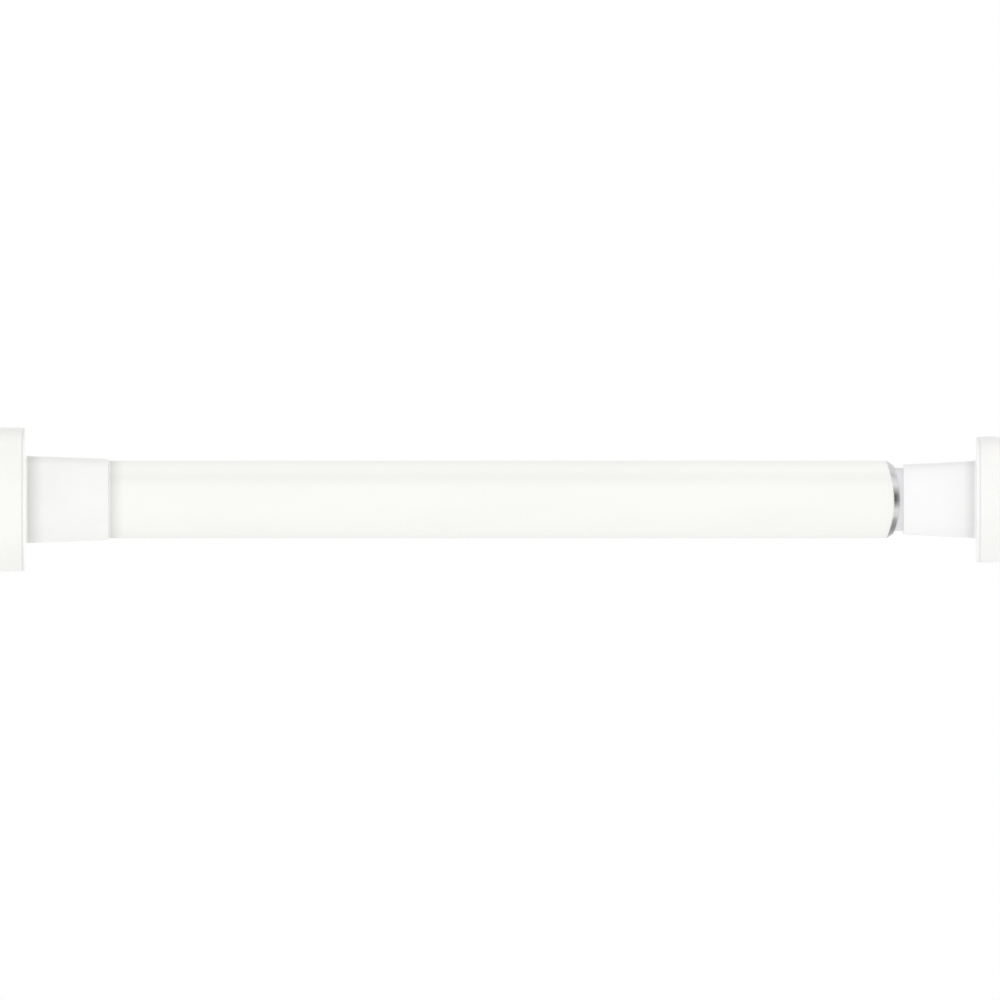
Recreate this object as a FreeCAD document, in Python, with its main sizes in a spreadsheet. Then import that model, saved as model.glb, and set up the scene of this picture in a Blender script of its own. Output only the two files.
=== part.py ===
import FreeCAD, Part
import math
import os
import types

import Sketcher

# A spring tension rod for a curtain, lying along X between two walls.
# The origin is the middle of the left foot's wall face. +X runs along the rod to the right wall.
# A sprung left foot slides over the thick tube. The thin tube slides in the thick one and is held by
# a twist lock: turning the thin tube draws a wedge nut into a slit sleeve, which grips the thick tube.

DRIVING_SIZES = [
    ("closed_length", 300.0, "wall to wall with the thin tube pushed in"),
    ("sliding_gap", 0.1, "radial play where one piece slides or turns in another"),
    ("press_gap", 0.02, "radial play drawn where one piece is pressed in another"),
    ("end_gap", 0.3, "play between end faces that move past or towards each other"),
    ("facing_wall", 1.6, "wall of the moulded foot pieces"),
    ("web_thickness", 2.0, "floor of a foot's base, behind the pad"),
    ("pad_recess", 1.15, "depth of the pad's seat in the base"),
    ("pad_edge_round", 1.2, "rounding of the pad's wall edge"),
    ("pad_waist_depth", 0.8, "groove round the pad that lets it give"),
    ("pad_waist_width", 1.6, "width of that groove"),
    ("pad_tread_width", 1.3, "width of the ring grooves in the pad's wall face"),
    ("pad_tread_depth", 0.6, "depth of those grooves"),
    ("pad_tread_pitch", 3.2, "distance from one ring groove to the next"),
    ("pad_flat_radius", 4.2, "plain middle of the pad"),
    ("base_back_round", 3.4, "rounding of the base's wall side"),
    ("base_corner_round", 1.2, "rounding inside the base"),
    ("parting_chamfer", 0.25, "bevel that shows as the line between base and cap"),
    ("lip_step", 0.12, "how far the cap's rim stands in from the base"),
    ("rib_width", 1.2, "thickness of the foot pieces' ribs"),
    ("spigot_depth", 2.4, "how far the cap's ring reaches into the base"),
    ("sleeve_mouth_round", 0.3, "rounding of a sleeve's open edge"),
    ("left_flange_radius", 20.5, "outside of the left foot"),
    ("left_pad_radius", 16.4, "left pad"),
    ("left_pad_stand", 5.45, "how far the left pad stands out of its base"),
    ("left_base_depth", 8.95, "left base along the rod"),
    ("left_rim_width", 0.9, "visible rim of the left cap"),
    ("left_rim_round", 0.5, "rounding of that rim"),
    ("left_sleeve_length", 23.6, "left sleeve from the cap's face to its mouth"),
    ("left_sleeve_root_wall", 1.3, "wall of the left sleeve at the cap's face"),
    ("left_sleeve_mouth_wall", 0.45, "wall of the left sleeve at its mouth"),
    ("left_root_round", 0.5, "rounding where the left sleeve meets the face"),
    ("right_flange_radius", 17.95, "outside of the right foot"),
    ("right_pad_radius", 14.2, "right pad"),
    ("right_pad_stand", 6.25, "how far the right pad stands out of its base"),
    ("right_base_depth", 7.65, "right base along the rod"),
    ("right_rim_width", 1.0, "visible rim of the right cap"),
    ("right_rim_round", 0.3, "rounding of that rim"),
    ("right_sleeve_length", 20.7, "right sleeve from the cap's face to its mouth"),
    ("right_sleeve_root_wall", 1.98, "wall of the right sleeve at the cap's face"),
    ("right_sleeve_mouth_wall", 0.93, "wall of the right sleeve at its mouth"),
    ("right_root_round", 0.9, "rounding where the right sleeve meets the face"),
    ("outer_tube_radius", 11.0, "thick tube"),
    ("outer_tube_wall", 0.6, "its sheet"),
    ("closed_mouth_gap", 1.1, "from the thick tube's mouth to the right sleeve, pushed in"),
    ("neck_length", 3.6, "drawn-in mouth of the thick tube, collar and all"),
    ("collar_length", 1.2, "straight end of that mouth"),
    ("collar_wall", 0.3, "thinned edge of that mouth"),
    ("neck_round", 1.5, "rounding where the mouth starts to draw in"),
    ("mouth_bow", 2.2, "how much shorter that mouth is above and below than at the front and back"),
    ("inner_tube_radius", 9.0, "thin tube"),
    ("inner_tube_wall", 0.6, "its sheet"),
    ("bush_length", 9.5, "guide ring inside the thick tube's mouth"),
    ("bush_slit", 1.2, "slit that lets the guide ring be pressed in"),
    ("spring_stroke", 10.0, "how far the left foot can be pressed in"),
    ("press_reserve", 1.4, "room left in the left foot when it is pressed in"),
    ("spring_wire_radius", 0.9, "spring wire"),
    ("spring_coil_radius", 6.9, "middle of the wire round the spring's axis"),
    ("spring_length", 23.9, "relaxed spring"),
    ("closed_coil_pitch", 1.9, "pitch of the closed end coils"),
    ("working_coils", 5.0, "turns between the end coils"),
    ("anchor_hub_height", 1.5, "boss of the base that carries the spring anchor"),
    ("anchor_length", 4.5, "plug that the spring's first coils grip"),
    ("nose_chamfer", 0.8, "lead-in of the plugs that enter a spring"),
    ("cup_flange", 1.0, "rim of the spring cup, at the tube's end"),
    ("cup_wall", 1.7, "side of the spring cup"),
    ("cup_floor", 1.5, "bottom of the spring cup"),
    ("cup_boss_length", 4.0, "plug in the cup that the spring's last coils grip"),
    ("screw_radius", 1.5, "foot screws"),
    ("screw_head_radius", 3.4, "their heads"),
    ("screw_head_height", 1.7, "their heads"),
    ("screw_head_play", 0.2, "room round a screw's head"),
    ("screw_head_round", 0.6, "rounding of their heads"),
    ("screw_point", 1.2, "tapered tip of the screws"),
    ("screw_recess_width", 0.9, "cross recess of the screws"),
    ("screw_recess_reach", 1.7, "cross recess from the middle of the head"),
    ("screw_recess_depth", 1.0, "cross recess"),
    ("left_screw_length", 5.0, "left screw under its head"),
    ("right_screw_length", 12.0, "right screw under its head"),
    ("stud_radius", 3.0, "threaded stud of the lock"),
    ("stud_neck_radius", 2.5, "stud in its clip groove and at its stop"),
    ("stud_grip_length", 10.0, "stud inside the tube plug"),
    ("stop_radius", 4.4, "collar on the stud's end"),
    ("stop_thickness", 1.0, "collar on the stud's end"),
    ("clip_radius", 4.8, "snap ring that holds the expander on the stud"),
    ("clip_thickness", 0.8, "snap ring"),
    ("clip_opening", 3.4, "gap in the snap ring"),
    ("cone_big_radius", 8.5, "wedge nut at its wide end"),
    ("cone_taper", 0.21, "radius the wedge nut loses for each millimetre"),
    ("cone_length", 4.5, "wedge nut along the stud"),
    ("cone_draw", 1.5, "how far one turn draws the wedge nut in"),
    ("cone_key_radius", 9.8, "keys of the wedge nut that ride in the slits"),
    ("cone_key_length", 4.0, "those keys along the stud"),
    ("expander_length", 11.0, "slit sleeve of the lock"),
    ("expander_web", 3.2, "its solid end"),
    ("slit_width", 1.2, "slits between the expander's fingers"),
    ("slit_length", 7.1, "depth of those slits"),
    ("grip_groove_width", 0.6, "grooves round the expander that bite the thick tube"),
    ("grip_groove_depth", 0.25, "those grooves"),
    ("grip_groove_pitch", 1.5, "distance from one of those grooves to the next"),
    ("plug_flange", 1.2, "rim of the plugs in the thin tube's ends"),
    ("lock_plug_length", 14.0, "plug in the thin tube's inner end"),
    ("end_plug_length", 12.0, "plug in the thin tube's outer end"),
    ("plug_core_wall", 1.8, "wall of the hollow part of a tube plug"),
]

FOOT_RIBS = 8
EXPANDER_SLITS = 4
GRIP_GROOVES = 3
RECESS_ARMS = 4
PAD_TREADS = 3
FULL_TURN = 360.0

document = FreeCAD.newDocument("SpringTensionRod")


class Length:
    """A size as its number now and as the expression that keeps it tied to the sheet."""

    def __init__(self, value, text):
        self.value = float(value)
        self.text = text

    def __add__(self, other):
        return combine(self, "+", other)

    def __sub__(self, other):
        return combine(self, "-", other)

    def __mul__(self, other):
        return combine(self, "*", other)

    def __truediv__(self, other):
        return combine(self, "/", other)

    def __rmul__(self, other):
        return combine(as_length(other), "*", self)


def as_length(size):
    return size if isinstance(size, Length) else Length(size, repr(float(size)))


def combine(left, sign, right):
    right = as_length(right)
    results = {
        "+": left.value + right.value,
        "-": left.value - right.value,
        "*": left.value * right.value,
        "/": left.value / right.value if right.value else math.inf,
    }
    return Length(results[sign], f"({left.text} {sign} {right.text})")


def make_sheet():
    """The driving sizes, in millimetres: name, number and what it is."""
    sheet = document.addObject("Spreadsheet::Sheet", "Sizes")
    sizes = {}
    for row, (name, value, note) in enumerate(DRIVING_SIZES, start=1):
        sheet.set(f"A{row}", name)
        sheet.set(f"B{row}", str(value))
        sheet.setAlias(f"B{row}", name)
        sheet.set(f"C{row}", note)
        sizes[name] = Length(value, f"Sizes.{name}")
    document.recompute()
    return types.SimpleNamespace(**sizes)


size = make_sheet()


def make_body(name):
    body = document.addObject("PartDesign::Body", name)
    body.Label = name
    return body


def origin_part(body, role):
    return next(part for part in body.Origin.OriginFeatures if part.Role == role)


def add_sketch(body, name):
    """A sketch on the lengthwise plane, with X along the rod and Y the height above its axis."""
    sketch = body.newObject("Sketcher::SketchObject", name)
    sketch.AttachmentSupport = [(origin_part(body, "XZ_Plane"), "")]
    sketch.MapMode = "FlatFace"
    return sketch


def tie(sketch, kind, geometry, point, name, length):
    """Hold one coordinate of a sketch point at a length, or on the axis where it is zero."""
    if abs(length.value) < 1e-9:
        axis = -1 if kind == "DistanceY" else -2
        sketch.addConstraint(Sketcher.Constraint("PointOnObject", geometry, point, axis))
        return
    index = sketch.addConstraint(
        Sketcher.Constraint(kind, -1, 1, geometry, point, length.value)
    )
    sketch.renameConstraint(index, name)
    sketch.setExpression(f"Constraints.{name}", length.text)


def draw_outline(body, name, corners):
    """A closed outline through (station, radius) corners, each tied to the sheet."""
    sketch = add_sketch(body, name)
    corners = [(as_length(along), as_length(out)) for along, out in corners]
    places = [FreeCAD.Vector(along.value, out.value, 0) for along, out in corners]
    count = len(corners)
    for index in range(count):
        line = Part.LineSegment(places[index], places[(index + 1) % count])
        sketch.addGeometry(line, False)
    for index in range(count):
        after = (index + 1) % count
        sketch.addConstraint(Sketcher.Constraint("Coincident", index, 2, after, 1))
    for index, (along, out) in enumerate(corners):
        tie(sketch, "DistanceX", index, 1, f"along_{index}", along)
        tie(sketch, "DistanceY", index, 1, f"out_{index}", out)
    return sketch


def turn(body, name, corners):
    """Revolve an outline round the rod's axis."""
    sketch = draw_outline(body, f"{name}_outline", corners)
    turned = body.newObject("PartDesign::Revolution", name)
    turned.Profile = sketch
    turned.ReferenceAxis = (sketch, ["H_Axis"])
    turned.Angle = FULL_TURN
    document.recompute()
    return turned


def rectangle(near, far, low, high):
    return [(near, low), (far, low), (far, high), (near, high)]


def repeat_round_axis(body, feature, count):
    pattern = body.newObject("PartDesign::PolarPattern", f"{feature.Name}_repeat")
    pattern.Originals = [feature]
    pattern.Axis = (origin_part(body, "X_Axis"), [""])
    pattern.Angle = FULL_TURN
    pattern.Occurrences = count
    body.Tip = pattern
    document.recompute()
    return pattern


def add_ribs(body, name, corners, width, count):
    """Plates that stand radially round the axis."""
    rib = body.newObject("PartDesign::Pad", name)
    rib.Profile = draw_outline(body, f"{name}_outline", corners)
    rib.SideType = "Symmetric"
    rib.setExpression("Length", width.text)
    document.recompute()
    return repeat_round_axis(body, rib, count)


def cut_slits(body, name, corners, width, count):
    """Radial slits, checked to take something away."""
    whole = body.Shape.Volume
    slit = body.newObject("PartDesign::Pocket", name)
    slit.Profile = draw_outline(body, f"{name}_outline", corners)
    slit.SideType = "Symmetric"
    slit.setExpression("Length", width.text)
    document.recompute()
    if slit.Shape.Volume >= whole:
        raise RuntimeError(f"{body.Label}: {name} cuts nothing")
    return repeat_round_axis(body, slit, count) if count > 1 else slit


def ring_edges(feature, places):
    """Names of the round edges at the given (station, radius) places."""
    found = []
    for along, out in places:
        for index, edge in enumerate(feature.Shape.Edges, start=1):
            curve = edge.Curve
            if not isinstance(curve, Part.Circle):
                continue
            off_station = abs(curve.Center.x - as_length(along).value)
            off_radius = abs(curve.Radius - as_length(out).value)
            on_axis = math.hypot(curve.Center.y, curve.Center.z)
            if max(off_station, off_radius, on_axis) < 1e-4:
                found.append(f"Edge{index}")
    if len(found) < len(places):
        raise RuntimeError(f"{feature.Label}: an edge to soften is missing")
    return found


def round_edges(body, feature, name, places, radius):
    rounded = body.newObject("PartDesign::Fillet", name)
    rounded.Base = (feature, ring_edges(feature, places))
    rounded.setExpression("Radius", radius.text)
    document.recompute()
    return rounded


def bevel_edges(body, feature, name, places, width):
    bevel = body.newObject("PartDesign::Chamfer", name)
    bevel.Base = (feature, ring_edges(feature, places))
    bevel.setExpression("Size", width.text)
    document.recompute()
    return bevel


def from_left(depth):
    return depth


def from_right(depth):
    return size.closed_length - depth


def foot_stations(side, bore):
    """Depths from the wall and radii shared by one foot's pieces, whose sleeve has the given bore."""
    def own(name):
        return getattr(size, f"{side}_{name}")

    foot = types.SimpleNamespace()
    foot.side = side
    foot.at = from_left if side == "left" else from_right
    foot.flange = own("flange_radius")
    foot.pad = own("pad_radius")
    foot.pad_stand = own("pad_stand")
    foot.pad_back = foot.pad_stand + size.pad_recess
    foot.web_front = foot.pad_back + size.web_thickness
    foot.parting = foot.pad_stand + own("base_depth")
    foot.face = foot.parting + own("rim_width")
    foot.mouth = foot.face + own("sleeve_length")
    foot.spigot_end = foot.parting - size.spigot_depth
    foot.head_seat = foot.pad_back + size.screw_head_play / 2 + size.screw_head_height
    foot.base_bore = foot.flange - size.facing_wall
    foot.bore = bore
    foot.sleeve_root = bore + own("sleeve_root_wall")
    foot.sleeve_mouth = bore + own("sleeve_mouth_wall")
    foot.rim_round = own("rim_round")
    foot.root_round = own("root_round")
    return foot


left = foot_stations("left", size.outer_tube_radius + size.sliding_gap)
right = foot_stations("right", size.inner_tube_radius + size.press_gap)

plug_radius = size.spring_coil_radius - size.spring_wire_radius - size.press_gap
left.hub = plug_radius
left.hub_front = left.web_front + size.anchor_hub_height
left.rib_foot = left.sleeve_root + size.end_gap
left.screw_length = size.left_screw_length
right.hub = size.inner_tube_radius
right.hub_front = right.web_front + size.cup_flange
right.rib_foot = right.hub + size.end_gap
right.screw_length = size.right_screw_length

# Stations along the rod, from the left wall
outer_bore = size.outer_tube_radius - size.outer_tube_wall
inner_bore = size.inner_tube_radius - size.inner_tube_wall
cup_start = left.web_front + size.spring_stroke + size.press_reserve
outer_tube_start = cup_start + size.cup_flange
outer_tube_end = right.at(right.mouth) - size.closed_mouth_gap
neck_start = outer_tube_end - size.neck_length
collar_start = outer_tube_end - size.collar_length
mouth_bore = size.inner_tube_radius + size.sliding_gap
spring_start = left.web_front
cup_floor_face = spring_start + size.spring_length
cup_end = cup_floor_face + size.cup_floor

stud_start = cup_end + size.end_gap
stop_end = stud_start + size.stop_thickness
expander_start = stop_end + 2 * size.end_gap
expander_end = expander_start + size.expander_length
expander_floor = expander_end - size.expander_web
cone_start = expander_start + size.end_gap
cone_end = cone_start + size.cone_length
clip_end = expander_floor - 2 * size.sliding_gap
clip_start = clip_end - size.clip_thickness
lock_plug_start = expander_end + size.end_gap
stud_end = lock_plug_start + size.stud_grip_length
inner_tube_start = lock_plug_start + size.plug_flange
inner_tube_end = right.at(right.hub_front + size.plug_flange)


def make_pad(foot):
    body = make_body(f"{foot.side}_pad")
    waist_near = foot.pad_stand / 2 - size.pad_waist_width / 2
    waist_far = foot.pad_stand / 2 + size.pad_waist_width / 2
    waist_floor = foot.pad - size.pad_waist_depth
    side_slope = size.pad_waist_depth / 2
    corners = [
        (0, 0),
        (0, foot.pad),
        (waist_near - side_slope, foot.pad),
        (waist_near, waist_floor),
        (waist_far, waist_floor),
        (waist_far + side_slope, foot.pad),
        (foot.pad_back, foot.pad),
        (foot.pad_back, 0),
    ]
    turned = turn(body, f"{foot.side}_pad_body", [(foot.at(along), out) for along, out in corners])
    softened = round_edges(
        body, turned, f"{foot.side}_pad_edge", [(foot.at(as_length(0)), foot.pad)], size.pad_edge_round
    )
    for index in range(PAD_TREADS):
        near = size.pad_flat_radius + size.pad_tread_pitch * index
        groove = body.newObject("PartDesign::Groove", f"{foot.side}_tread_{index}")
        groove.Profile = draw_outline(
            body,
            f"{foot.side}_tread_{index}_outline",
            rectangle(
                foot.at(as_length(0)),
                foot.at(size.pad_tread_depth),
                near,
                near + size.pad_tread_width,
            ),
        )
        groove.ReferenceAxis = (groove.Profile[0], ["H_Axis"])
        groove.Angle = FULL_TURN
        document.recompute()
        if groove.Shape.Volume >= softened.Shape.Volume:
            raise RuntimeError(f"{body.Label}: a tread groove cuts nothing")
        softened = groove
    return body


def make_base(foot):
    """The cup at the wall: pad seat behind, ribs and a screw hub in front."""
    body = make_body(f"{foot.side}_base")
    pad_seat = foot.pad + size.press_gap
    hole = size.screw_radius + size.sliding_gap
    head_recess = size.screw_head_radius + size.screw_head_play
    corners = [
        (foot.pad_stand, pad_seat),
        (foot.pad_stand, foot.flange),
        (foot.parting, foot.flange),
        (foot.parting, foot.base_bore),
        (foot.web_front, foot.base_bore),
        (foot.web_front, foot.hub),
        (foot.hub_front, foot.hub),
        (foot.hub_front, hole),
        (foot.head_seat, hole),
        (foot.head_seat, head_recess),
        (foot.pad_back, head_recess),
        (foot.pad_back, pad_seat),
    ]
    shell = turn(body, f"{foot.side}_base_cup", [(foot.at(along), out) for along, out in corners])
    back = round_edges(
        body, shell, f"{foot.side}_base_back", [(foot.at(foot.pad_stand), foot.flange)], size.base_back_round
    )
    corner = [(foot.at(foot.web_front), foot.base_bore)]
    inside = round_edges(body, back, f"{foot.side}_base_inside", corner, size.base_corner_round)
    bevel_edges(
        body, inside, f"{foot.side}_base_bevel", [(foot.at(foot.parting), foot.flange)], size.parting_chamfer
    )
    add_ribs(
        body,
        f"{foot.side}_base_rib",
        rectangle(
            foot.at(foot.web_front - size.end_gap),
            foot.at(foot.spigot_end - size.end_gap),
            foot.rib_foot,
            foot.base_bore + size.end_gap,
        ),
        size.rib_width,
        FOOT_RIBS,
    )
    return body


def make_shell(foot):
    """The front cap: rim, face and the tapered sleeve that hides the tube's end."""
    body = make_body(f"{foot.side}_shell")
    rim = foot.flange - size.lip_step
    spigot = foot.base_bore - size.press_gap
    spigot_bore = spigot - size.facing_wall
    back_of_face = foot.face - size.facing_wall
    corners = [
        (foot.mouth, foot.bore),
        (foot.mouth, foot.sleeve_mouth),
        (foot.face, foot.sleeve_root),
        (foot.face, rim),
        (foot.parting, rim),
        (foot.parting, spigot),
        (foot.spigot_end, spigot),
        (foot.spigot_end, spigot_bore),
        (back_of_face, spigot_bore),
        (back_of_face, foot.sleeve_root),
        (foot.spigot_end, foot.sleeve_root),
        (foot.spigot_end, foot.bore),
    ]
    name = foot.side
    cap = turn(body, f"{name}_cap", [(foot.at(along), out) for along, out in corners])
    mouth = round_edges(
        body, cap, f"{name}_mouth_edge", [(foot.at(foot.mouth), foot.sleeve_mouth)], size.sleeve_mouth_round
    )
    root = round_edges(
        body, mouth, f"{name}_sleeve_root", [(foot.at(foot.face), foot.sleeve_root)], foot.root_round
    )
    round_edges(body, root, f"{name}_rim_edge", [(foot.at(foot.face), rim)], foot.rim_round)
    return body


def make_screw(foot):
    """A pan-headed screw whose head lies under the pad."""
    name = f"{foot.side}_screw"
    body = make_body(name)
    head_top = foot.head_seat - size.screw_head_height
    tip = foot.head_seat + foot.screw_length
    corners = [
        (head_top, 0),
        (head_top, size.screw_head_radius),
        (foot.head_seat, size.screw_head_radius),
        (foot.head_seat, size.screw_radius),
        (tip - size.screw_point, size.screw_radius),
        (tip, 0),
    ]
    turned = turn(body, f"{name}_body", [(foot.at(along), out) for along, out in corners])
    round_edges(
        body, turned, f"{name}_head", [(foot.at(head_top), size.screw_head_radius)], size.screw_head_round
    )
    recess = rectangle(
        foot.at(head_top), foot.at(head_top + size.screw_recess_depth), 0, size.screw_recess_reach
    )
    cut_slits(body, f"{name}_recess", recess, size.screw_recess_width, RECESS_ARMS)
    return body


def make_ring(name, near, far, bore, outside):
    body = make_body(name)
    turn(body, f"{name}_body", rectangle(near, far, bore, outside))
    return body


def bow_mouth(body):
    """Trim the thick tube's mouth along an arc, so that it is longest at the front and back."""
    reach = size.outer_tube_radius
    bow = size.mouth_bow
    radius = (reach * reach + bow * bow) / (2 * bow)
    arc_ends = outer_tube_end - bow
    clear = outer_tube_end + size.end_gap
    half_angle = math.asin(reach.value / radius.value)
    middle = FreeCAD.Vector(outer_tube_end.value - radius.value, 0, 0)
    corners = [(arc_ends, reach), (clear, reach), (clear, reach * -1), (arc_ends, reach * -1)]
    places = [FreeCAD.Vector(along.value, out.value, 0) for along, out in corners]
    sketch = add_sketch(body, "mouth_bow_outline")
    circle = Part.Circle(middle, FreeCAD.Vector(0, 0, 1), radius.value)
    arc = sketch.addGeometry(Part.ArcOfCircle(circle, -half_angle, half_angle), False)
    top = sketch.addGeometry(Part.LineSegment(places[0], places[1]), False)
    end = sketch.addGeometry(Part.LineSegment(places[1], places[2]), False)
    bottom = sketch.addGeometry(Part.LineSegment(places[2], places[3]), False)
    sketch.addConstraint(Sketcher.Constraint("Coincident", arc, 2, top, 1))
    sketch.addConstraint(Sketcher.Constraint("Coincident", top, 2, end, 1))
    sketch.addConstraint(Sketcher.Constraint("Coincident", end, 2, bottom, 1))
    sketch.addConstraint(Sketcher.Constraint("Coincident", bottom, 2, arc, 1))
    sketch.addConstraint(Sketcher.Constraint("Horizontal", top))
    sketch.addConstraint(Sketcher.Constraint("Vertical", end))
    sketch.addConstraint(Sketcher.Constraint("Symmetric", arc, 1, arc, 2, -1))
    sketch.addConstraint(Sketcher.Constraint("Horizontal", bottom))
    tie(sketch, "DistanceX", top, 1, "arc_ends", arc_ends)
    tie(sketch, "DistanceY", top, 1, "reach", reach)
    tie(sketch, "DistanceX", end, 1, "clear", clear)
    rounding = sketch.addConstraint(Sketcher.Constraint("Radius", arc, radius.value))
    sketch.renameConstraint(rounding, "bow_radius")
    sketch.setExpression("Constraints.bow_radius", radius.text)
    whole = body.Shape.Volume
    trim = body.newObject("PartDesign::Pocket", "mouth_bow")
    trim.Profile = sketch
    trim.SideType = "Symmetric"
    trim.setExpression("Length", (2 * reach + size.end_gap).text)
    document.recompute()
    if trim.Shape.Volume >= whole:
        raise RuntimeError(f"{body.Label}: the mouth isn't trimmed")


def make_outer_tube():
    """The thick tube, drawn in at its mouth so that its bowed edge hugs the thin tube."""
    body = make_body("outer_tube")
    collar = mouth_bore + size.collar_wall
    tube = turn(
        body,
        "outer_tube_wall",
        [
            (outer_tube_start, outer_bore),
            (outer_tube_start, size.outer_tube_radius),
            (neck_start, size.outer_tube_radius),
            (collar_start, collar),
            (outer_tube_end, collar),
            (outer_tube_end, mouth_bore),
            (collar_start, mouth_bore),
            (neck_start, outer_bore),
        ],
    )
    round_edges(body, tube, "outer_tube_shoulder", [(neck_start, size.outer_tube_radius)], size.neck_round)
    bow_mouth(body)
    return body


def make_mouth_bush():
    """A split ring that guides the thin tube behind the drawn-in mouth."""
    end = neck_start - size.end_gap
    start = end - size.bush_length
    body = make_ring("mouth_bush", start, end, mouth_bore, outer_bore - size.press_gap)
    slit = rectangle(start - size.end_gap, end + size.end_gap, inner_bore, size.outer_tube_radius)
    cut_slits(body, "mouth_bush_slit", slit, size.bush_slit, 1)
    return body


def make_spring_cup():
    """The plug in the thick tube's left end, with a boss that the spring's last coils grip."""
    body = make_body("spring_cup")
    side = outer_bore - size.press_gap
    boss_end = cup_floor_face - size.cup_boss_length
    cup = turn(
        body,
        "spring_cup_body",
        [
            (cup_start, side - size.cup_wall),
            (cup_start, size.outer_tube_radius),
            (outer_tube_start, size.outer_tube_radius),
            (outer_tube_start, side),
            (cup_end, side),
            (cup_end, 0),
            (boss_end, 0),
            (boss_end, plug_radius),
            (cup_floor_face, plug_radius),
            (cup_floor_face, side - size.cup_wall),
        ],
    )
    bevel_edges(body, cup, "spring_cup_boss_nose", [(boss_end, plug_radius)], size.nose_chamfer)
    return body


def make_spring_anchor():
    body = make_body("spring_anchor")
    tip = left.hub_front + size.anchor_length
    bore = size.screw_radius + size.press_gap
    plug = turn(body, "spring_anchor_body", rectangle(left.hub_front, tip, bore, plug_radius))
    bevel_edges(body, plug, "spring_anchor_nose", [(tip, plug_radius)], size.nose_chamfer)
    return body


def add_coils(body, name, start, pitch, turns):
    sketch = add_sketch(body, f"{name}_wire")
    wire = Part.Circle(
        FreeCAD.Vector(start.value, size.spring_coil_radius.value, 0),
        FreeCAD.Vector(0, 0, 1),
        size.spring_wire_radius.value,
    )
    sketch.addGeometry(wire, False)
    tie(sketch, "DistanceX", 0, 3, "start", start)
    tie(sketch, "DistanceY", 0, 3, "coil_radius", size.spring_coil_radius)
    index = sketch.addConstraint(Sketcher.Constraint("Radius", 0, size.spring_wire_radius.value))
    sketch.renameConstraint(index, "wire_radius")
    sketch.setExpression("Constraints.wire_radius", size.spring_wire_radius.text)
    document.recompute()
    coils = body.newObject("PartDesign::AdditiveHelix", name)
    coils.Profile = sketch
    coils.ReferenceAxis = (sketch, ["H_Axis"])
    coils.setExpression("Pitch", pitch.text)
    coils.setExpression("Height", (pitch * turns).text)
    document.recompute()
    return coils


def make_spring():
    """A compression spring: one closed coil at each end and open working coils between."""
    body = make_body("spring")
    first = spring_start + size.spring_wire_radius
    last = cup_floor_face - size.spring_wire_radius
    closed = size.closed_coil_pitch
    working_pitch = (last - first - 2 * closed) / size.working_coils
    add_coils(body, "foot_coil", first, closed, as_length(1))
    add_coils(body, "working_coil_run", first + closed, working_pitch, size.working_coils)
    add_coils(body, "cup_coil", last - closed, closed, as_length(1))
    return body


def make_expander():
    """The slit sleeve: its fingers are wedged against the thick tube's bore."""
    body = make_body("expander")
    grip = outer_bore - size.sliding_gap
    hole = size.stud_radius + 2 * size.sliding_gap

    def cone_face(along):
        drawn_in = cone_start + size.cone_draw + size.sliding_gap
        return size.cone_big_radius - size.cone_taper * (along - drawn_in)

    turn(
        body,
        "expander_sleeve",
        [
            (expander_start, cone_face(expander_start)),
            (expander_start, grip),
            (expander_end, grip),
            (expander_end, hole),
            (expander_floor, hole),
            (expander_floor, cone_face(expander_floor)),
        ],
    )
    for index in range(GRIP_GROOVES):
        near = expander_start + size.grip_groove_pitch * (index + 1)
        groove = body.newObject("PartDesign::Groove", f"grip_groove_{index}")
        groove.Profile = draw_outline(
            body,
            f"grip_groove_{index}_outline",
            rectangle(
                near,
                near + size.grip_groove_width,
                grip - size.grip_groove_depth,
                size.outer_tube_radius,
            ),
        )
        groove.ReferenceAxis = (groove.Profile[0], ["H_Axis"])
        groove.Angle = FULL_TURN
        document.recompute()
    slit = rectangle(
        expander_start - size.end_gap,
        expander_start + size.slit_length,
        size.clip_radius,
        size.outer_tube_radius,
    )
    cut_slits(body, "finger_slit", slit, size.slit_width, EXPANDER_SLITS)
    return body


def make_cone_nut():
    """The wedge nut: its keys ride in the expander's slits, so it can't turn with the stud."""
    body = make_body("cone_nut")
    hole = size.stud_radius + size.sliding_gap
    small_radius = size.cone_big_radius - size.cone_taper * size.cone_length
    turn(
        body,
        "cone_nut_body",
        [
            (cone_start, hole),
            (cone_start, size.cone_big_radius),
            (cone_end, small_radius),
            (cone_end, hole),
        ],
    )
    key = rectangle(
        cone_start,
        cone_start + size.cone_key_length,
        small_radius - size.end_gap,
        size.cone_key_radius,
    )
    add_ribs(body, "cone_key", key, size.slit_width - 2 * size.sliding_gap, EXPANDER_SLITS)
    return body


def make_stud():
    """The lock's stud: a neck for the stop, a groove for the clip, the rest in the tube plug."""
    body = make_body("lock_stud")
    groove_start = clip_start - size.sliding_gap
    groove_end = clip_end + size.sliding_gap
    turn(
        body,
        "lock_stud_body",
        [
            (stud_start, 0),
            (stud_start, size.stud_neck_radius),
            (stop_end, size.stud_neck_radius),
            (stop_end, size.stud_radius),
            (groove_start, size.stud_radius),
            (groove_start, size.stud_neck_radius),
            (groove_end, size.stud_neck_radius),
            (groove_end, size.stud_radius),
            (stud_end, size.stud_radius),
            (stud_end, 0),
        ],
    )
    return body


def make_stud_clip():
    bore = size.stud_neck_radius + size.press_gap
    body = make_ring("stud_clip", clip_start, clip_end, bore, size.clip_radius)
    opening = rectangle(clip_start - size.end_gap, clip_end + size.end_gap, 0, size.outer_tube_radius)
    cut_slits(body, "stud_clip_opening", opening, size.clip_opening, 1)
    return body


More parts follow.
